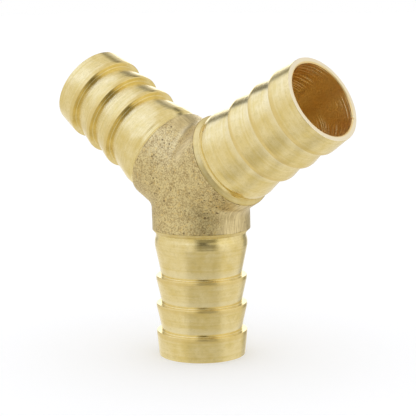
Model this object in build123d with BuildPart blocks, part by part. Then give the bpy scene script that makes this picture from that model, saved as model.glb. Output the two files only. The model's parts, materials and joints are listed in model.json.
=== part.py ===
"""Three-way barbed hose connector (a wye) in brass.

A short forged hub joins three equal turned hose tails, 120 degrees apart in one plane.
Each tail ends in a thin spigot that is pressed into a socket of the hub, so that its
collar is flush with the hub's skin and one plain bore runs from every mouth to the middle.

The origin is the point where the three axes meet. The axes lie in the XZ plane, with one
tail pointing straight down and the other two 30 degrees above the horizontal.
"""

from build123d import *
import os
from math import cos, radians, sin

# Driving dimensions, in millimetres
centre_to_end = 38.5  # from the meeting point of the axes to each mouth
arm_angles = {"lower": -90.0, "right": 30.0, "left": 150.0}  # degrees up from +X, in the XZ plane

bore_radius = 8.3

hub_radius = 10.75
hub_reach = 10.3  # from the meeting point to the seam between hub and tail
crotch_radius = 3.0  # forged fillet where two stubs of the hub run together

spigot_radius = 9.4
spigot_length = 3.5

collar_chamfer_length = 0.95  # turned slope from the hub's skin down to the foot of the collar
collar_foot_radius = 9.93
land_radius = 10.2  # plain root land, just larger than the barbs
land_start = 12.9  # the tail swells gently from the collar's foot to here
land_length = 1.0

barb_radius = 10.0
barb_count = 3
barb_pitch = 6.15
first_barb = 20.65  # from the meeting point to the first barb's square shoulder
crest_length = 0.7  # narrow cylindrical land behind each sharp shoulder
neck_radius = 8.9
neck_fillet = 0.12
mouth_radius = 9.5
mouth_edge = 0.2  # broken edges, inside and outside the mouth

# Worked out from the driving dimensions
socket_floor = hub_reach - spigot_length
collar_foot = hub_reach + collar_chamfer_length
land_end = land_start + land_length
shoulders = [first_barb + barb * barb_pitch for barb in range(barb_count)]


def arm_direction(angle):
    """Unit vector along the arm at this angle, away from the hub."""
    return Vector(cos(radians(angle)), 0, sin(radians(angle)))


def cross_section_plane(angle, distance):
    """Plane square to the arm, at this distance from the meeting point, facing outwards."""
    direction = arm_direction(angle)
    return Plane(origin=direction * distance, x_dir=(0, 1, 0), z_dir=direction)


def profile_plane(angle):
    """Plane through the arm's axis: local X is the radius and local Y runs out along the arm."""
    direction = arm_direction(angle)
    return Plane(origin=(0, 0, 0), x_dir=(0, 1, 0), z_dir=(direction.Z, 0, -direction.X))


# Corners of a tail's half section, as (radius, distance from the meeting point)
section_corners = [
    (bore_radius, socket_floor),
    (spigot_radius, socket_floor),
    (spigot_radius, hub_reach),
    (hub_radius, hub_reach),
    (collar_foot_radius, collar_foot),
    (land_radius, land_start),
    (land_radius, land_end),
]
for shoulder in shoulders:
    section_corners.append((neck_radius, shoulder))
    section_corners.append((barb_radius, shoulder))
    section_corners.append((barb_radius, shoulder + crest_length))
section_corners.append((mouth_radius, centre_to_end))
section_corners.append((bore_radius, centre_to_end))


# The hub: three stubs run together, sockets for the spigots, and the three bores
with BuildPart() as wye_body:
    for angle in arm_angles.values():
        with BuildSketch(cross_section_plane(angle, 0)):
            Circle(hub_radius)
        extrude(amount=hub_reach)
    fillet(wye_body.edges().filter_by(GeomType.ELLIPSE), crotch_radius)
    for angle in arm_angles.values():
        with BuildSketch(cross_section_plane(angle, socket_floor)):
            Circle(spigot_radius)
        extrude(amount=spigot_length, mode=Mode.SUBTRACT)
    for angle in arm_angles.values():
        with BuildSketch(cross_section_plane(angle, 0)):
            Circle(bore_radius)
        extrude(amount=hub_reach, mode=Mode.SUBTRACT)

# The three hose tails, one turned profile carried round each arm's axis
hose_tails = {}
for side, angle in arm_angles.items():
    with BuildPart() as tail:
        with BuildSketch(profile_plane(angle)) as half_section:
            with BuildLine():
                Polyline(section_corners, close=True)
            make_face()
            necks = half_section.vertices().filter_by(lambda corner: abs(corner.X - neck_radius) < 1e-6)
            fillet(necks, neck_fillet)
            mouth = half_section.vertices().group_by(Axis.Y)[-1]
            chamfer(mouth, mouth_edge)
        revolve(axis=Axis((0, 0, 0), arm_direction(angle)))
    hose_tails[side] = tail.part

os.makedirs("parts", exist_ok=True)
wye_body.part.label = "wye_body"
export_step(wye_body.part, "parts/wye_body.step")
for side, solid in hose_tails.items():
    solid.label = f"hose_tail_{side}"
    export_step(solid, f"parts/hose_tail_{side}.step")
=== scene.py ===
"""Looks of a brass three-way hose connector: a forged hub and three turned hose tails.

Shapes are worked out in millimetres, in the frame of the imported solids: the axes of the three
arms meet at the origin and lie in the XZ plane. A mesh is scaled to metres when it is made.
"""

import json
import math

import bpy
import numpy as np
from mathutils import Matrix, Vector


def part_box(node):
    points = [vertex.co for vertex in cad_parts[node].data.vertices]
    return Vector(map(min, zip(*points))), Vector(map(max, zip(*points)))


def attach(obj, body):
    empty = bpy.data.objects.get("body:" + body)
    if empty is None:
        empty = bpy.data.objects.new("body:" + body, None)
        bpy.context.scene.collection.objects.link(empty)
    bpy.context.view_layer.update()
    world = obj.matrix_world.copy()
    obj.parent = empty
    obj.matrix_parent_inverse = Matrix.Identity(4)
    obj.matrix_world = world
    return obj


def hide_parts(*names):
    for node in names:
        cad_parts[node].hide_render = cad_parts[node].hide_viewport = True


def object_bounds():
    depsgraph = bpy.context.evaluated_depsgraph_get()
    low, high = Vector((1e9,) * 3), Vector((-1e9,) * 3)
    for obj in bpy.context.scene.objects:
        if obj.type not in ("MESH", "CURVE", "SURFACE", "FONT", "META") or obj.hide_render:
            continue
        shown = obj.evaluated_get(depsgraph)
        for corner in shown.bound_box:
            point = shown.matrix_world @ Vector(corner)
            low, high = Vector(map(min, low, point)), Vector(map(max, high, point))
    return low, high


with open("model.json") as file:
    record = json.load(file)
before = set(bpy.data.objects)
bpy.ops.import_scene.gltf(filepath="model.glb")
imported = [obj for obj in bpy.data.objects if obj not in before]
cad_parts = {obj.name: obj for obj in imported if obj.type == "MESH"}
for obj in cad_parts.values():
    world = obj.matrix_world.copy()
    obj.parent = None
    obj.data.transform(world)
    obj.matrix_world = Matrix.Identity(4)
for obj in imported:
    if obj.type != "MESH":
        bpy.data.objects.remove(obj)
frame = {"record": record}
cad_low, cad_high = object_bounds()

MM = 0.001
ARMS = ("lower", "right", "left")

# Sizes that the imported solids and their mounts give, in millimetres
mounts = {mount["name"]: mount for mount in frame["record"]["mounts"]}
barb_radius = mounts["hose_seat_lower"]["dims"]["r_mm"]
bore_radius = mounts["flow_bore_lower"]["dims"]["r_mm"]
mouth_distance = -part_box("hose_tail_lower")[0].z / MM
socket_floor = -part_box("hose_tail_lower")[1].z / MM
hub_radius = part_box("wye_body")[1].y / MM
hub_reach = -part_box("wye_body")[0].z / MM

# The turned profile of a tail, in millimetres: radii, and distances from the origin
spigot_radius = 9.4
collar_foot = (9.93, 11.25)
relief_end = (9.96, 11.95)
ramp_end = (10.17, 12.6)
land_radius = 10.2
land_start = 13.1
land_end = 13.9
first_shoulder = 20.65
barb_pitch = 6.15
barb_count = 3
crest_length = 0.7
neck_radius = 8.9
hollow_length = 1.5  # the cone's last stretch before a shoulder, which is turned less steeply
hollow_rise = 0.2
mouth_radius = 9.5
mouth_bevel = 0.2

# The radius that rounds each corner of that profile, in millimetres
rounded = {"collar_edge": 0.08, "collar_foot": 0.1, "relief": 0.5, "ramp": 0.8, "land": 0.6,
           "hollow": 8.0, "neck": 0.12, "crest": 0.3, "mouth_outside": 0.12, "mouth_inside": 0.06}
rounded["shoulder"] = 0.18  # left almost sharp, because the shoulders grip the hose
marked_spacing = 0.14  # between points of the profile where the tool left marks
plain_spacing = 0.5  # and on the spigot, which nobody sees

# Lathe work, in millimetres
coarse_rings = (0.55, 0.004)  # width and height of the uneven feed marks on a tail's skin
fine_rings = (0.23, 0.002)
drift_length = 2.5  # tool marks change slowly, over about this distance along a tail
drift_circle = 1.8  # and over an angle of one radian divided by this, round it
chatter_share = 0.3  # size of the lathe's chatter, as a share of the drift's, both ways
chatter_height = 0.002
boring_pitch = 0.56  # the boring bar's feed, which leaves a shallow screw inside
boring_depth = 0.03
scored_angle = 23.0  # the bar pressed harder on this side of the bore and the one across from it
burr = {"side": "right", "angle": 54.0, "spread": 1.6, "height": 0.3}  # where the tool left the mouth
nick = {"past_burr": 4.0, "spread": 1.8, "depth": 0.35}  # both spreads and angles are in degrees

# Forging, in millimetres
crotch_radius = 3.0
stub_shift = {"lower": (0.13, 0.02, 0.0), "right": (0.0, 0.05, 0.03), "left": (0.03, -0.04, 0.0)}
flash_width = 5.2  # half width of the strip that was ground smooth along the parting plane
parting_ridge = 0.05
scuff = np.array([(4.5, -8.0, 10.8), (2.6, -9.8, 6.6)])  # ends of a stretch rubbed smooth by the die
unevenness = ((0.05, 4.5, 15), (0.015, 1.4, 16))  # height, size and seed of each noise of the skin
blasted_grain = ((0.016, 0.55, 17), (0.014, 0.36, 18))  # the same for its grain
large_pits = {"cell": 0.55, "radii": (0.16, 0.3), "depth": 0.07, "oxide": 1.35}
small_pits = {"cell": 0.5, "radii": (0.12, 0.22), "depth": 0.03, "oxide": 0.34}
pit_clusters = (
    (11.8, -6.4, -3.2), (10.9, -7.6, -2.5), (8.6, -6.6, -5.5),
    (-4.4, -10.6, 0.4), (-1.0, -9.0, 8.5), (-3.0, -10.2, 5.0),
)
cluster_size = 1.6
seam_shade_width = 0.14  # width of the painted shade along the seam: a dark edge that stands in for the shadow in the step where the tail meets the hub


# ---------------------------------------------------------------- repeatable noise

def hashed(cells, seed):
    """A number from 0 to 1 for each row of whole numbers, the same every time."""
    mixed = cells @ np.array([73856093, 19349663, 83492791], np.int64) + seed * 2654435761
    for _ in range(2):
        mixed = (mixed ^ (mixed >> 15)) * 2246822519 & 0xFFFFFFFF
    return (mixed ^ (mixed >> 13)) / 0xFFFFFFFF


def value_noise(points, cell, seed):
    """Smooth noise from -1 to 1: random values on a cubic lattice, blended with t*t*(3 - 2t)."""
    scaled = points / cell
    base = np.floor(scaled).astype(np.int64)
    share = scaled - base
    share = share * share * (3 - 2 * share)
    total = np.zeros(points.shape[:-1])
    for corner in np.ndindex(2, 2, 2):
        weight = np.prod(np.where(corner, share, 1 - share), axis=-1)
        total += weight * hashed(base + np.array(corner), seed)
    return total * 2 - 1


def line_noise(distance, cell, seed):
    """The same noise along one line of distances."""
    zeros = np.zeros_like(distance)
    return value_noise(np.stack([distance, zeros, zeros], axis=-1), cell, seed)


def layered_noise(points, layers):
    """The sum of noises, each given by its height, its cell and its seed."""
    return sum(height * value_noise(points, cell, seed) for height, cell, seed in layers)


def pit_field(points, size, likelihood, seed):
    """Round pit hollows: a lattice cell may hold one, with depth (1 - (d/r)^2)^2 at distance d of its
    centre.

    size gives the cell and the least and greatest radius. likelihood gives, for the cells'
    centres, how likely each one is to hold a pit.
    """
    cell = size["cell"]
    least, greatest = size["radii"]
    base = np.floor(points / cell).astype(np.int64)
    depth = np.zeros(points.shape[:-1])
    for offset in np.ndindex(3, 3, 3):
        near = base + np.array(offset) - 1
        jitter = np.stack([hashed(near, seed + axis) for axis in range(3)], axis=-1)
        radius = least + (greatest - least) * hashed(near, seed + 3)
        present = hashed(near, seed + 4) < likelihood((near + 0.5) * cell)
        away = np.linalg.norm(points - (near + jitter) * cell, axis=-1) / radius
        depth = np.maximum(depth, np.where(present, np.clip(1 - away**2, 0, 1) ** 2, 0))
    return depth


def smooth_step(value, low, high):
    """0 below low, 1 above high, and 3t^2 - 2t^3 between them."""
    share = np.clip((value - low) / (high - low), 0, 1)
    return share * share * (3 - 2 * share)


# ---------------------------------------------------------------- meshes

def arm_axes(side):
    """Unit vectors of an arm: out along its axis, across it in the XZ plane, and +Y."""
    along = np.array(mounts[f"hose_seat_{side}"]["axis"], float)
    along /= np.linalg.norm(along)
    across = np.array([along[2], 0.0, -along[0]])
    return along, across, np.array([0.0, 1.0, 0.0])


def grid_quads(rows, columns, wrap_rows):
    """Quads of a grid of points numbered row by row, closed across its columns.

    wrap_rows joins the last row to the first as well.
    """
    row = np.arange(rows if wrap_rows else rows - 1)[:, None]
    column = np.arange(columns)[None, :]
    next_row = (row + 1) % rows
    next_column = (column + 1) % columns
    corners = [row * columns + column, row * columns + next_column,
               next_row * columns + next_column, next_row * columns + column]
    return np.stack(np.broadcast_arrays(*corners), axis=-1).reshape(-1, 4)


def make_mesh(name, points, faces, attributes, sharp_degrees=40):
    """A mesh object from points in millimetres and groups of faces, turned to point outwards.

    The signed volume is the sum, over triangles fanned from each face's first corner, of the
    triple product of its corners over six. It is negative when the faces point inwards.
    """
    volume = 0.0
    for group in faces:
        corners = points[group]
        for last in range(2, group.shape[1]):
            cross = np.cross(corners[:, last - 1], corners[:, last])
            volume += np.einsum("ij,ij->", corners[:, 0], cross) / 6
    if volume < 0:
        faces = [group[:, ::-1] for group in faces]
    loops = np.concatenate([group.ravel() for group in faces]).astype(np.int32)
    sizes = np.concatenate([np.full(len(group), group.shape[1]) for group in faces])
    starts = np.concatenate([[0], np.cumsum(sizes)[:-1]]).astype(np.int32)
    mesh = bpy.data.meshes.new(name)
    mesh.vertices.add(len(points))
    mesh.vertices.foreach_set("co", (points * MM).astype(np.float32).ravel())
    mesh.loops.add(len(loops))
    mesh.loops.foreach_set("vertex_index", loops)
    mesh.polygons.add(len(starts))
    mesh.polygons.foreach_set("loop_start", starts)
    for key, values in attributes.items():
        layer = mesh.attributes.new(key, "FLOAT", "POINT")
        layer.data.foreach_set("value", values.astype(np.float32).ravel())
    mesh.update(calc_edges=True)
    mesh.polygons.foreach_set("use_smooth", np.ones(len(starts), bool))
    mesh.set_sharp_from_angle(angle=math.radians(sharp_degrees))
    piece = bpy.data.objects.new(name, mesh)
    bpy.context.scene.collection.objects.link(piece)
    return piece


# ---------------------------------------------------------------- the turned tails

def rounded_outline(corners, arc_step_degrees=15):
    """A closed outline as dense points, from corners of (radius, distance, rounding, spacing).

    Each corner is replaced by an arc of its rounding, tangent to both of its sides, which
    starts and ends at rounding * tan(half the turn) from it. The straight part that follows is
    divided evenly at about the corner's spacing.
    """
    place = np.array([corner[:2] for corner in corners])
    rounding = np.array([corner[2] for corner in corners])
    before = place - np.roll(place, 1, axis=0)
    before /= np.linalg.norm(before, axis=1)[:, None]
    after = np.roll(before, -1, axis=0)
    sideways = before[:, 0] * after[:, 1] - before[:, 1] * after[:, 0]
    turn = np.arctan2(sideways, (before * after).sum(1))
    setback = rounding * np.tan(np.abs(turn) / 2)
    pieces = []
    for i, (_, _, radius, spacing) in enumerate(corners):
        if radius:
            start = place[i] - before[i] * setback[i]
            centre = start + np.array([-before[i, 1], before[i, 0]]) * np.sign(turn[i]) * radius
            steps = math.ceil(abs(turn[i]) / math.radians(arc_step_degrees))
            swing = np.linspace(0, turn[i], steps + 1)[:-1, None]
            spoke = start - centre
            quarter_on = np.array([-spoke[1], spoke[0]])
            pieces.append(centre + spoke * np.cos(swing) + quarter_on * np.sin(swing))
        following = (i + 1) % len(corners)
        start = place[i] + after[i] * setback[i]
        end = place[following] - after[i] * setback[following]
        parts = max(1, round(np.linalg.norm(end - start) / spacing))
        pieces.append(start + (end - start) * (np.arange(parts)[:, None] / parts))
    return np.concatenate(pieces)


def tail_outline():
    """The half section of a tail, from its spigot out along the skin to the mouth and back in."""
    corners = [
        (bore_radius, socket_floor, 0, plain_spacing),
        (spigot_radius, socket_floor, 0, plain_spacing),
        (spigot_radius, hub_reach, 0, plain_spacing),
        (hub_radius, hub_reach, rounded["collar_edge"], marked_spacing),
        (*collar_foot, rounded["collar_foot"], marked_spacing),
        (*relief_end, rounded["relief"], marked_spacing),
        (*ramp_end, rounded["ramp"], marked_spacing),
        (land_radius, land_start, 0, marked_spacing),
        (land_radius, land_end, rounded["land"], marked_spacing),
    ]
    for barb in range(barb_count):
        shoulder = first_shoulder + barb * barb_pitch
        hollow = (neck_radius + hollow_rise, shoulder - hollow_length)
        corners.append((*hollow, rounded["hollow"], marked_spacing))
        corners.append((neck_radius, shoulder, rounded["neck"], marked_spacing))
        corners.append((barb_radius, shoulder, rounded["shoulder"], marked_spacing))
        corners.append((barb_radius, shoulder + crest_length, rounded["crest"], marked_spacing))
    corners.append((mouth_radius, mouth_distance, rounded["mouth_outside"], marked_spacing))
    for inwards, down in ((mouth_bevel, 0), (0, mouth_bevel)):
        edge = (bore_radius + inwards, mouth_distance - down)
        corners.append((*edge, rounded["mouth_inside"], marked_spacing))
    return rounded_outline(corners)


def mouth_burr(distance, radius, angle):
    """How far the mouth's rim stands out along the axis: a burr with a nick just past it.

    Both are bells of the angle, and fade from the bore's edge to the middle of the rim.
    """
    turn = np.degrees((angle - math.radians(burr["angle"]) + np.pi) % (2 * np.pi) - np.pi)
    raised = burr["height"] * np.exp(-(turn / burr["spread"]) ** 2)
    sunk = nick["depth"] * np.exp(-((turn - nick["past_burr"]) / nick["spread"]) ** 2)
    on_rim = smooth_step(distance, mouth_distance - 0.6, mouth_distance - 0.05)
    on_edge = 1 - smooth_step(radius, bore_radius + 0.3, bore_radius + 0.8)
    return (on_rim * on_edge)[:, None] * (raised - sunk)


def tail_bands(radius, distance, inside):
    """Where the finish or the painted light changes along the outline, each band from 0 to 1 with soft ends.
    """
    crest, hollow = np.zeros(len(radius)), np.zeros(len(radius))
    for barb in range(barb_count):
        past = distance - first_shoulder - barb * barb_pitch
        crest_end = smooth_step(past, crest_length, crest_length + 0.8)
        crest += smooth_step(past, -0.05, 0.05) * (1 - crest_end)
        hollow_end = smooth_step(past, -0.1, 0.0)
        hollow += smooth_step(past, -hollow_length - 1.0, -0.5) * (1 - hollow_end)
    return {
        "bored": smooth_step(bore_radius + 0.5 - radius, 0.0, 0.45),
        "faced": (distance > mouth_distance - 0.03).astype(float),
        "collar": ((distance >= hub_reach) & (distance < collar_foot[1]) & ~inside).astype(float),
        "crest": crest * ~inside,
        "hollow": hollow * ~inside,
    }


def turned_tail(side, seed, columns=180):
    """A surface of revolution with tool marks pushed along its skin's normal.

    Outside, the marks are rings: noise of the path travelled by the tool, with some chatter.
    Inside, they are a screw of cusps, 1 - 2 |sin(pi distance / pitch + angle / 2)|, whose depth
    drifts along and round the bore and is greatest on two opposite sides.
    """
    along, across, up = arm_axes(side)
    outline = tail_outline()
    ahead = np.roll(outline, -1, axis=0) - np.roll(outline, 1, axis=0)
    normal = np.stack([ahead[:, 1], -ahead[:, 0]], axis=1) / np.linalg.norm(ahead, axis=1)[:, None]
    travelled = np.cumsum(np.linalg.norm(outline - np.roll(outline, 1, axis=0), axis=1))
    angle = np.arange(columns) * (2 * np.pi / columns)
    radius, distance = outline[:, 0], outline[:, 1]
    inside = (radius < bore_radius + 0.02) & (distance < mouth_distance - mouth_bevel)

    circle = np.stack([np.cos(angle), np.sin(angle)], axis=1) * drift_circle
    circle = np.broadcast_to(circle, (len(outline), columns, 2))
    down = np.broadcast_to(distance[:, None, None] / drift_length, (len(outline), columns, 1))
    round_tail = np.concatenate([down, circle], axis=2)

    rings = sum(height * line_noise(travelled, width, seed) for width, height in (coarse_rings, fine_rings))
    chatter = chatter_height * value_noise(round_tail, chatter_share, seed + 4)
    skin = ~inside & (distance > hub_reach - 0.01)
    outside_marks = skin[:, None] * (rings[:, None] + chatter)

    drift = smooth_step(value_noise(round_tail, 1.0, seed + 2), -0.5, 0.7)
    uneven = 0.5 + 0.5 * line_noise(distance, 0.6, seed + 3)[:, None]
    scored_side = smooth_step(np.abs(np.cos(angle - math.radians(scored_angle))), 0.15, 0.6)
    turns = np.pi * distance[:, None] / boring_pitch + angle / 2
    boring = boring_depth * (0.15 + drift * scored_side) * uneven * (1 - 2 * np.abs(np.sin(turns)))

    relief = np.where(inside[:, None], boring, outside_marks)
    radial = np.cos(angle)[:, None] * across + np.sin(angle)[:, None] * up
    marked_radius = radius[:, None] + relief * normal[:, :1]
    marked_distance = distance[:, None] + relief * normal[:, 1:]
    if side == burr["side"]:
        marked_distance = marked_distance + mouth_burr(distance, radius, angle)
    points = (marked_radius[..., None] * radial + marked_distance[..., None] * along).reshape(-1, 3)

    bands = {"lathe_path": travelled, **tail_bands(radius, distance, inside)}
    attributes = {key: band[:, None] * np.ones(columns) for key, band in bands.items()}
    attributes["scored"] = bands["bored"][:, None] * scored_side
    faces = grid_quads(len(outline), columns, wrap_rows=True)
    return make_mesh(f"turned_tail_{side}", points, [faces], attributes)


# ---------------------------------------------------------------- the forged hub

def hub_arm(side, columns, skin_rows, bore_rows):
    """One arm of the hub as a grid: the skin out to the seam, its socket, and the bore back in.

    The skin starts in the plane halfway to the neighbouring arm, follows the arc of the crotch
    fillet, and runs straight along the stub. For an angle a round the axis, the fillet's centre
    is (R + r) from the axis at distance (R + r) |cos a| / sqrt(3), where the arms' offset
    surfaces meet; the arc runs from the mean direction of both arms to this arm's own radius.
    Returns the skin's points and outward normals, and the points inside.
    """
    along, across, up = arm_axes(side)
    angle = (np.arange(columns) + 0.5) * (2 * np.pi / columns)
    cosine, sine = np.cos(angle)[:, None], np.sin(angle)[:, None]
    radial = cosine * across + sine * up
    halfway = along * 0.5 + np.sign(cosine) * across * math.sqrt(0.75)
    middle = np.abs(cosine) * math.sqrt(0.75) * halfway + sine * up
    middle /= np.linalg.norm(middle, axis=1)[:, None]
    reach = (hub_radius + crotch_radius) * np.abs(cosine[:, 0]) / math.sqrt(3)
    centre = (hub_radius + crotch_radius) * radial + reach[:, None] * along
    swing = np.arccos(np.clip((middle * radial).sum(1), -1, 1))
    arc = crotch_radius * swing
    travelled = np.linspace(0, 1, skin_rows)[:, None] * (arc + hub_reach - reach)
    part = np.clip(travelled / np.maximum(arc, 1e-9), 0, 1)[..., None]
    turn = swing[None, :, None]
    normal = np.sin((1 - part) * turn) * middle + np.sin(part * turn) * radial
    normal /= np.linalg.norm(normal, axis=2)[..., None]
    skin = centre - crotch_radius * normal + np.maximum(travelled - arc, 0)[..., None] * along
    socket = [(spigot_radius, hub_reach), (spigot_radius, socket_floor), (bore_radius, socket_floor)]
    rings = np.stack([radius * radial + distance * along for radius, distance in socket])
    inner_end = bore_radius * np.abs(cosine) / math.sqrt(3)
    share = np.linspace(0, 1, bore_rows)[1:, None, None]
    bore = bore_radius * radial + (socket_floor + (inner_end - socket_floor) * share) * along
    return skin, normal, np.concatenate([rings, bore])


def off_centre(skin):
    """0 over the middle of the hub, and 1 further out, where the dies left flash."""
    return smooth_step(np.linalg.norm(skin[..., ::2], axis=-1), 7.5, 9.5)


def ground_share(skin):
    """How smooth the skin is, from 0 to 1: ground patches along the parting plane, and the scuff."""
    edge = flash_width + 1.3 * value_noise(skin, 2.6, 11) + 0.6 * value_noise(skin, 0.7, 12)
    flash = (1 - smooth_step(np.abs(skin[..., 1]), edge - 1.4, edge + 1.0)) * off_centre(skin)
    patchy = 0.7 + 0.3 * smooth_step(value_noise(skin, 1.8, 13), -0.3, 0.3)
    span = scuff[1] - scuff[0]
    share = np.clip((skin - scuff[0]) @ span / np.sum(span**2), 0, 1)
    to_scuff = np.linalg.norm(skin - scuff[0] - share[..., None] * span, axis=-1)
    rubbed = 0.75 * (1 - smooth_step(to_scuff + 0.5 * value_noise(skin, 0.9, 14), 0.5, 1.7))
    return np.maximum(flash * patchy, rubbed)


def clustered(centres):
    """How likely a large pit is: rare, but for bells round the middles of the clusters."""
    bells = [np.exp(-np.sum((centres - np.array(cluster)) ** 2, axis=-1) / cluster_size**2)
             for cluster in pit_clusters]
    return 0.035 + 0.85 * np.max(bells, axis=0)


def scattered(centres):
    """How likely a small pit is: it drifts slowly over the hub."""
    return 0.3 + 0.4 * value_noise(centres, 2.2, 26)


def forge_skin(side, skin, normal):
    """Gives one arm's skin its forged and blasted surface, and says where it is ground or dark.

    The height is noise at four sizes of grain, less two sizes of pit, plus a thin ridge where
    the dies met. Where the skin is ground, the grain is a quarter as high and the small pit
    hollows are nearly gone. The stub sits a little off the tail's axis, by a shift that grows from
    nothing in the plane between two arms. The seam is ragged, by noise along the axis that
    fades inwards, and here and there it has a dark line of painted shade, which stands in for the
    shadow in the step where the tail meets the hub.
    """
    along = arm_axes(side)[0]
    reach = np.stack([skin @ arm_axes(other)[0] for other in ARMS])
    own = reach[ARMS.index(side)]
    neighbour = np.sort(reach, axis=0)[1]
    from_seam = hub_reach - own
    ground = ground_share(skin)
    rough = 1 - 0.75 * ground

    deep = pit_field(skin, large_pits, clustered, 20)
    shallow = pit_field(skin, small_pits, scattered, 30) * rough
    dark = np.clip(large_pits["oxide"] * deep + small_pits["oxide"] * shallow, 0, 1)
    height = layered_noise(skin, unevenness)
    height += rough * layered_noise(skin, blasted_grain)
    ridge = np.exp(-(skin[..., 1] / 0.25) ** 2) * smooth_step(value_noise(skin, 1.7, 19), -0.4, 0.5)
    height += parting_ridge * ridge * off_centre(skin)
    height -= large_pits["depth"] * deep + small_pits["depth"] * shallow
    height *= smooth_step(from_seam, -0.05, 0.3)

    shift = np.array(stub_shift[side]) * smooth_step(own - neighbour, 0, 9)[..., None]
    ragged = 0.1 * value_noise(skin, 0.9, 24) + 0.07 * value_noise(skin, 0.4, 25)
    ragged *= 1 - smooth_step(from_seam, 0, 0.9)
    shift = shift + ragged[..., None] * along
    # painted shade: a dark line here and there along the seam, for the shadow in the step where the tail
    # meets the hub
    here_and_there = smooth_step(value_noise(skin, 1.2, 27), -0.4, 0.4)
    seam_shade = 0.35 * np.exp(-(from_seam / seam_shade_width) ** 2) * here_and_there
    return skin + normal * height[..., None] + shift, ground, np.clip(dark + seam_shade, 0, 1)


def forged_hub(columns=360, skin_rows=76, bore_rows=6, weld_distance=2e-4):
    """The three arms' grids, welded where they meet, with a small triangle on each triple point."""
    points, faces, holes, ground, pits = [], [], [], [], []
    for arm, side in enumerate(ARMS):
        skin, normal, inside = hub_arm(side, columns, skin_rows, bore_rows)
        skin, skin_ground, skin_pits_and_seam_shade = forge_skin(side, skin, normal)
        grid = np.concatenate([skin, inside])
        start = arm * grid.shape[0] * columns
        points.append(grid.reshape(-1, 3))
        faces.append(grid_quads(len(grid), columns, wrap_rows=False) + start)
        plain = np.zeros(inside.shape[:2])
        ground.append(np.concatenate([skin_ground, plain]).ravel())
        pits.append(np.concatenate([skin_pits_and_seam_shade, plain]).ravel())
        last = (len(grid) - 1) * columns
        for first in (start, start + last):
            for quarter in (columns // 4, 3 * columns // 4):
                holes.append((first + quarter - 1, first + quarter))
    points, faces = np.concatenate(points), np.concatenate(faces)
    key = np.round(points / weld_distance).astype(np.int64)
    _, first, merged = np.unique(key, axis=0, return_index=True, return_inverse=True)
    merged = merged.ravel()
    rims = merged[np.array(holes)].reshape(len(ARMS), 4, 2)
    edge = rims[0]
    third = np.array([np.setdiff1d(rims[:, hole], edge[hole])[0] for hole in range(4)])
    # the skin's two holes and the bore's two wind opposite ways
    edge = np.concatenate([edge[:2, ::-1], edge[2:]])
    triangles = np.column_stack([edge, third])
    attributes = {"ground": np.concatenate(ground)[first], "pits": np.concatenate(pits)[first]}
    return make_mesh("forged_hub", points[first], [merged[faces], triangles], attributes)


hub = forged_hub()
tails = {side: turned_tail(side, 100 + 10 * arm) for arm, side in enumerate(ARMS)}
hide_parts("wye_body")
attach(hub, "root")
for side, tail in tails.items():
    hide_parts(f"hose_tail_{side}")
    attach(tail, "root")


# ---------------------------------------------------------------- materials

def linear(hex_colour):
    """Linear RGBA of an sRGB colour written as six hex digits."""
    encoded = np.array([int(hex_colour[i:i + 2], 16) for i in (0, 2, 4)]) / 255
    decoded = np.where(encoded <= 0.04045, encoded / 12.92, ((encoded + 0.055) / 1.055) ** 2.4)
    return (*decoded.tolist(), 1.0)


def add_node(tree, kind, settings=None, links=None):
    """Adds a node. settings gives inputs, by name or number, or properties.

    links feeds inputs from the sockets of other nodes.
    """
    node = tree.nodes.new(kind)
    for key, value in (settings or {}).items():
        if isinstance(key, str) and hasattr(node, key):
            setattr(node, key, value)
        else:
            node.inputs[key].default_value = value
    for key, socket in (links or {}).items():
        tree.links.new(socket, node.inputs[key])
    return node


def new_material(name):
    """A material with one metallic shader, ready for its nodes."""
    material = bpy.data.materials.new(name)
    material.use_nodes = True
    tree = material.node_tree
    tree.nodes.clear()
    shader = add_node(tree, "ShaderNodeBsdfPrincipled", {"Metallic": 1.0})
    add_node(tree, "ShaderNodeOutputMaterial", links={"Surface": shader.outputs["BSDF"]})
    return material, tree, shader


# Sizes of the patterns on turned brass, in millimetres. Rings, bands and scratches are noise
# along the tool's path, which its attribute gives in millimetres. The others are noise in space.
ring_width = 0.125  # real feed marks can be finer, and are drawn as coarse as they need to show
tarnish_band = 0.526
scratch_width = 0.263
waver_length = 11.1  # rings and scratches waver round a tail over this distance
scratch_length = 6.25
tarnish_patch = 2.63
smudge_size = 0.77


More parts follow.
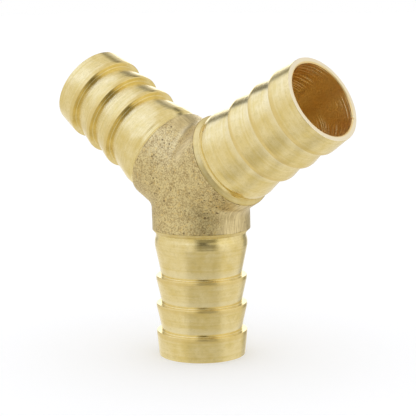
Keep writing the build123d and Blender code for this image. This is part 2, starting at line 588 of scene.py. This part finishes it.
def turned_brass():
    """Free-cutting brass, turned and left bare: satin, with fine rings that stretch each
    highlight along the axis, and tarnish from pale straw to greenish yellow, half in bands
    round the tail and half in patches. The barbs' crests and shoulders are painted golden, a
    painted reflection of light bounced between each shoulder and its cone, and the hollows before
    the shoulders are painted paler, a painted highlight. The collar and the faced rim are duller,
    and the rim is painted paler, a painted highlight. The bored inside deepens to orange as light
    bounces in it, its colour is painted paler to lighten its shade, and it is scratched where
    the boring bar pressed."""
    material, tree, shader = new_material("turned_brass")
    place = add_node(tree, "ShaderNodeTexCoord").outputs["Object"]
    masks = {key: add_node(tree, "ShaderNodeAttribute", {"attribute_name": key}).outputs["Fac"]
             for key in ("lathe_path", "bored", "faced", "collar", "crest", "hollow", "scored")}
    wander = add_node(tree, "ShaderNodeTexNoise", {"Scale": 1 / (waver_length * MM), "Detail": 1.0},
                      {"Vector": place}).outputs["Fac"]
    ring_at = add_node(tree, "ShaderNodeCombineXYZ",
                       links={"X": masks["lathe_path"], "Y": wander}).outputs["Vector"]

    # tarnish: a mix of patches and bands, and darker smudges on top
    patches = add_node(tree, "ShaderNodeTexNoise", {"Scale": 1 / (tarnish_patch * MM), "Detail": 4.0},
                       {"Vector": place}).outputs["Fac"]
    bands = add_node(tree, "ShaderNodeTexNoise", {"Scale": 1 / tarnish_band, "Detail": 3.0},
                     {"Vector": ring_at}).outputs["Fac"]
    mingled = add_node(tree, "ShaderNodeMix", {0: 0.45}, {2: patches, 3: bands}).outputs[0]
    tarnish = add_node(tree, "ShaderNodeMapRange", {"From Min": 0.38, "From Max": 0.62},
                       {"Value": mingled}).outputs["Result"]
    skin = add_node(tree, "ShaderNodeMix",
                    {"data_type": "RGBA", 6: linear("E7D38C"), 7: linear("F5E6B0")},
                    {0: tarnish}).outputs[2]
    smudge = add_node(tree, "ShaderNodeTexNoise", {"Scale": 1 / (smudge_size * MM), "Detail": 2.0},
                      {"Vector": place}).outputs["Fac"]
    smudged = add_node(tree, "ShaderNodeMapRange", {"From Min": 0.5, "From Max": 0.7, "To Max": 0.34},
                       {"Value": smudge}).outputs["Result"]
    colour = add_node(tree, "ShaderNodeMix", {"data_type": "RGBA", 7: linear("D6C585")},
                      {0: smudged, 6: skin}).outputs[2]
    # painted light: the crests golden as a painted reflection, the hollows and the faced rim paler as
    # painted highlights, and the bore paler to lighten its shade
    painted_light_tints = (("crest", 0.45, "E3C97C"), ("hollow", 0.5, "F8EFC8"),
             ("faced", 1.0, "FFF6DE"), ("bored", 1.0, "FFE9AE"))
    for band, strength, painted_tint in painted_light_tints:
        share = add_node(tree, "ShaderNodeMath", {"operation": "MULTIPLY", 1: strength},
                         {0: masks[band]}).outputs[0]
        colour = add_node(tree, "ShaderNodeMix", {"data_type": "RGBA", 7: linear(painted_tint)},
                          {0: share, 6: colour}).outputs[2]
    tree.links.new(colour, shader.inputs["Base Color"])

    # fine rings that drift slowly round the tail
    rings = add_node(tree, "ShaderNodeTexNoise",
                     {"Scale": 1 / ring_width, "Detail": 2.0, "Roughness": 0.7},
                     {"Vector": ring_at}).outputs["Fac"]
    turned = add_node(tree, "ShaderNodeBump", {"Strength": 0.6, "Distance": 0.03 * MM},
                      {"Height": rings}).outputs["Normal"]

    # scratches of the boring bar: thin ridges that come and go round the bore
    waver = add_node(tree, "ShaderNodeMath", {"operation": "MULTIPLY_ADD", 1: 0.5},
                     {0: wander, 2: masks["lathe_path"]}).outputs[0]
    scratch_at = add_node(tree, "ShaderNodeCombineXYZ", links={"X": waver}).outputs["Vector"]
    scratches = add_node(tree, "ShaderNodeTexNoise", {"Scale": 1 / scratch_width, "Detail": 1.0},
                         {"Vector": scratch_at}).outputs["Fac"]
    sharp = add_node(tree, "ShaderNodeMapRange", {"From Min": 0.52, "From Max": 0.66},
                     {"Value": scratches}).outputs["Result"]
    comes = add_node(tree, "ShaderNodeTexNoise", {"Scale": 1 / (scratch_length * MM), "Detail": 1.0},
                     {"Vector": place}).outputs["Fac"]
    visible = add_node(tree, "ShaderNodeMapRange", {"From Min": 0.3, "From Max": 0.5},
                       {"Value": comes}).outputs["Result"]
    ridge = add_node(tree, "ShaderNodeMath", {"operation": "MULTIPLY"}, {0: sharp, 1: visible}).outputs[0]
    scratched = add_node(tree, "ShaderNodeBump", {"Distance": 0.09 * MM},
                         {"Height": ridge, "Strength": masks["scored"], "Normal": turned})
    tree.links.new(scratched.outputs["Normal"], shader.inputs["Normal"])

    roughness = add_node(tree, "ShaderNodeMapRange", {"To Min": 0.12, "To Max": 0.19},
                         {"Value": patches}).outputs["Result"]
    for band, extra in (("faced", 0.35), ("collar", 0.34), ("bored", 0.2)):
        roughness = add_node(tree, "ShaderNodeMath", {"operation": "MULTIPLY_ADD", 1: extra},
                             {0: masks[band], 2: roughness}).outputs[0]
    tree.links.new(roughness, shader.inputs["Roughness"])
    return material


# Sizes of the patterns on forged brass, in millimetres
grain_size = 0.238
oxide_size = 0.294
cloud_size = 1.43
painted_glint_size = 0.667
stroke_width = 0.333
stroke_stretch = 0.12  # strokes are this share as fine along the parting plane as across it


def forged_brass():
    """Brass as forged and shot blasted: a matte, grainy skin, dark with oxide in each pit and in
    clouds between them, with golden flecks that are painted glints. A dark line along the seam is
    painted shade. It is smoother and paler, with the strokes of the grinder, where the flash was ground off."""
    material, tree, shader = new_material("forged_brass")
    place = add_node(tree, "ShaderNodeTexCoord").outputs["Object"]
    ground = add_node(tree, "ShaderNodeAttribute", {"attribute_name": "ground"}).outputs["Fac"]
    pits = add_node(tree, "ShaderNodeAttribute", {"attribute_name": "pits"}).outputs["Fac"]

    # oxide, and golden flecks painted on it as glints
    oxide = add_node(tree, "ShaderNodeTexNoise",
                     {"Scale": 1 / (oxide_size * MM), "Detail": 2.0, "Roughness": 0.6},
                     {"Vector": place}).outputs["Fac"]
    cloud = add_node(tree, "ShaderNodeTexNoise", {"Scale": 1 / (cloud_size * MM), "Detail": 3.0},
                     {"Vector": place}).outputs["Fac"]
    uneven = add_node(tree, "ShaderNodeMath", {"operation": "MULTIPLY_ADD", 1: 0.35},
                      {0: cloud, 2: oxide}).outputs[0]
    blotch = add_node(tree, "ShaderNodeMapRange", {"From Min": 0.56, "From Max": 0.84},
                      {"Value": uneven}).outputs["Result"]
    skin = add_node(tree, "ShaderNodeMix",
                    {"data_type": "RGBA", 6: linear("EDDDA6"), 7: linear("B29B6C")},
                    {0: blotch}).outputs[2]
    # painted glints: sparse golden flecks, where grains of the blasted skin catch the light
    painted_glint_noise = add_node(tree, "ShaderNodeTexNoise", {"Scale": 1 / (painted_glint_size * MM), "Detail": 2.0},
                     {"Vector": place}).outputs["Fac"]
    painted_glint_share = add_node(tree, "ShaderNodeMapRange", {"From Min": 0.56, "From Max": 0.7, "To Max": 0.6},
                      {"Value": painted_glint_noise}).outputs["Result"]
    with_painted_glints = add_node(tree, "ShaderNodeMix", {"data_type": "RGBA", 7: linear("EED28A")},
                       {0: painted_glint_share, 6: skin}).outputs[2]

    # strokes of the grinder, along the parting plane
    stretched = add_node(tree, "ShaderNodeVectorMath",
                         {"operation": "MULTIPLY", 1: (stroke_stretch, 1.0, stroke_stretch)},
                         {0: place}).outputs[0]
    strokes = add_node(tree, "ShaderNodeTexNoise", {"Scale": 1 / (stroke_width * MM), "Detail": 2.0},
                       {"Vector": stretched}).outputs["Fac"]
    stroke = add_node(tree, "ShaderNodeMapRange", {"From Min": 0.4, "From Max": 0.62},
                      {"Value": strokes}).outputs["Result"]
    filed = add_node(tree, "ShaderNodeMix",
                     {"data_type": "RGBA", 6: linear("EFDEAC"), 7: linear("CCBA8B")},
                     {0: stroke}).outputs[2]
    polished = add_node(tree, "ShaderNodeMix", {"data_type": "RGBA"},
                        {0: ground, 6: with_painted_glints, 7: filed}).outputs[2]
    # dark oxide in the pits, and painted shade along the seam
    colour = add_node(tree, "ShaderNodeMix", {"data_type": "RGBA", 7: linear("5C4330")},
                      {0: pits, 6: polished}).outputs[2]
    tree.links.new(colour, shader.inputs["Base Color"])

    roughness = add_node(tree, "ShaderNodeMapRange", {"To Min": 0.44, "To Max": 0.34}, {"Value": ground})
    tree.links.new(roughness.outputs["Result"], shader.inputs["Roughness"])
    grain = add_node(tree, "ShaderNodeTexNoise",
                     {"Scale": 1 / (grain_size * MM), "Detail": 2.0, "Roughness": 0.6},
                     {"Vector": place}).outputs["Fac"]
    depth = add_node(tree, "ShaderNodeMapRange", {"To Min": 1.0, "To Max": 0.25},
                     {"Value": ground}).outputs["Result"]
    bump = add_node(tree, "ShaderNodeBump", {"Distance": 0.05 * MM}, {"Height": grain, "Strength": depth})
    tree.links.new(bump.outputs["Normal"], shader.inputs["Normal"])
    return material


tail_brass = turned_brass()
for tail in tails.values():
    tail.data.materials.append(tail_brass)
hub.data.materials.append(forged_brass())


# ---------------------------------------------------------------- the studio

# Soft patches of the tent: azimuth and its half width, elevation and its half height, and the
# softness of the edges, all in degrees; then the patch's colour and brightness
TENT = "EDE8DF"
LIGHT_PATCHES = (
    (-45, 72, 47, 24, 16, "E6EAFF", 1.32),  # large soft box, high on the left, a little cool
    (100, 34, 18, 26, 14, "F5F2EE", 1.09),  # white reflector on the right
    (-138, 24, 2, 12, 8, "FFFFFF", 1.2),  # lit backdrop
    (-138, 22, 13, 7, 6, "FFFFFF", 1.6),  # its brightest stretch, over the table's edge
    (-116, 14, -30, 16, 10, "FFFBF2", 1.0),  # table lit by the backdrop
    (-176, 14, -2, 16, 9, "A8A49A", 1.0),  # beyond the backdrop's right edge
    (-106, 9, 8, 17, 8, "BCB8AE", 1.0),  # beyond its left edge
    (-172, 26, 46, 7, 7, "7C7A72", 1.0),  # dark gap between the backdrop and the soft box
    (-122, 22, 35, 9, 8, "6A6860", 1.0),  # the same gap, lower on the left
    (48, 50, -38, 20, 14, "D2CCBE", 1.0),  # table in front, in the camera's shade
    (0, 200, -90, 14, 8, "D9D4CB", 1.0),  # table in the object's own shade
    (55, 27, 5, 20, 9, "969182", 1.0),  # the person who holds the camera
    (46, 13, 26, 13, 8, "6C685C", 1.0),  # the camera itself, held above
)


def studio_world():
    """A white tent with soft patches, which the brass reflects. All other rays see plain white.

    A patch is the product of two windows, one of azimuth and one of elevation, and it covers
    what comes before it.
    """
    world = bpy.data.worlds.new("studio")
    world.use_nodes = True
    tree = world.node_tree
    tree.nodes.clear()
    toward = add_node(tree, "ShaderNodeTexCoord").outputs["Generated"]
    axis = add_node(tree, "ShaderNodeSeparateXYZ", links={"Vector": toward}).outputs
    front = add_node(tree, "ShaderNodeMath", {"operation": "MULTIPLY", 1: -1.0}, {0: axis["Y"]}).outputs[0]
    azimuth = add_node(tree, "ShaderNodeMath", {"operation": "ARCTAN2"}, {0: axis["X"], 1: front}).outputs[0]
    elevation = add_node(tree, "ShaderNodeMath", {"operation": "ARCSINE"}, {0: axis["Z"]}).outputs[0]
    shade = add_node(tree, "ShaderNodeRGB").outputs[0]
    shade.default_value = linear(TENT)
    for patch_azimuth, half_width, patch_elevation, half_height, softness, colour, glow in LIGHT_PATCHES:
        windows = []
        sides = ((azimuth, patch_azimuth, half_width), (elevation, patch_elevation, half_height))
        for angle, middle, half in sides:
            offset = add_node(tree, "ShaderNodeMath", {"operation": "SUBTRACT", 1: math.radians(middle)},
                              {0: angle}).outputs[0]
            wrapped = add_node(tree, "ShaderNodeMath", {"operation": "WRAP", 1: math.pi, 2: -math.pi},
                               {0: offset}).outputs[0]
            size = add_node(tree, "ShaderNodeMath", {"operation": "ABSOLUTE"}, {0: wrapped}).outputs[0]
            edges = {"interpolation_type": "SMOOTHSTEP", "From Min": math.radians(half + softness),
                     "From Max": math.radians(half - softness)}
            windows.append(add_node(tree, "ShaderNodeMapRange", edges, {"Value": size}).outputs["Result"])
        mask = add_node(tree, "ShaderNodeMath", {"operation": "MULTIPLY"},
                        {0: windows[0], 1: windows[1]}).outputs[0]
        lit = tuple(glow * channel for channel in linear(colour))
        shade = add_node(tree, "ShaderNodeMix", {"data_type": "RGBA", 7: lit},
                         {0: mask, 6: shade}).outputs[2]
    tent = add_node(tree, "ShaderNodeBackground", links={"Color": shade}).outputs[0]
    white = add_node(tree, "ShaderNodeBackground", {"Color": linear("FFFFFF")}).outputs[0]
    mirrored = add_node(tree, "ShaderNodeLightPath").outputs["Is Glossy Ray"]
    seen = add_node(tree, "ShaderNodeMixShader", links={0: mirrored, 1: white, 2: tent})
    add_node(tree, "ShaderNodeOutputWorld", links={"Surface": seen.outputs[0]})
    bpy.context.scene.world = world


def studio_floor(half_width=4.0, cells=2, glow=0.18):
    """A flat pale floor under the lower mouth, half_width in metres.

    It adds a faint glow of its own, so that it stays as pale as the tent's wall behind it, and
    the brass doesn't reflect it, because the tent's patches already hold the table.
    """
    line = np.linspace(-half_width, half_width, cells + 1) / MM
    x, y = np.meshgrid(line, line)
    points = np.stack([x, y, np.full_like(x, cad_low.z / MM)], axis=-1).reshape(-1, 3)
    row, column = np.divmod(np.arange(cells * cells), cells)
    first = row * (cells + 1) + column
    faces = np.stack([first, first + 1, first + cells + 2, first + cells + 1], axis=1)
    floor = make_mesh("studio_floor", points, [faces], {})
    material = bpy.data.materials.new("white_table")
    material.use_nodes = True
    shader = material.node_tree.nodes["Principled BSDF"]
    shader.inputs["Base Color"].default_value = linear("EEEFF2")
    shader.inputs["Roughness"].default_value = 0.9
    shader.inputs["Emission Color"].default_value = (1, 1, 1, 1)
    shader.inputs["Emission Strength"].default_value = glow
    floor.data.materials.append(material)
    floor.visible_glossy = False


studio_world()
studio_floor()

camera_azimuth = math.radians(41.62)
camera_elevation = math.radians(8.65)
camera_roll = math.radians(-0.66)
camera_distance = 308.94
aim = Vector((1.78, 0.39, -5.87))  # close to the middle of the object's box, in millimetres
sensor_width = 36.0
focal_length = 122.5

back = Vector((math.sin(camera_azimuth) * math.cos(camera_elevation),
               -math.cos(camera_azimuth) * math.cos(camera_elevation), math.sin(camera_elevation)))
turn = back.to_track_quat("Z", "Y").to_matrix() @ Matrix.Rotation(camera_roll, 3, "Z")
lens = bpy.data.cameras.new("camera")
lens.sensor_width = sensor_width
lens.lens = focal_length
lens.clip_start = 0.01
camera = bpy.data.objects.new("camera", lens)
camera.matrix_world = Matrix.Translation((aim + back * camera_distance) * MM) @ turn.to_4x4()
bpy.context.scene.collection.objects.link(camera)
bpy.context.scene.camera = camera
bpy.context.scene.view_settings.view_transform = "Standard"
bpy.context.scene.cycles.glossy_bounces = 12  # for light on its way out of a bore
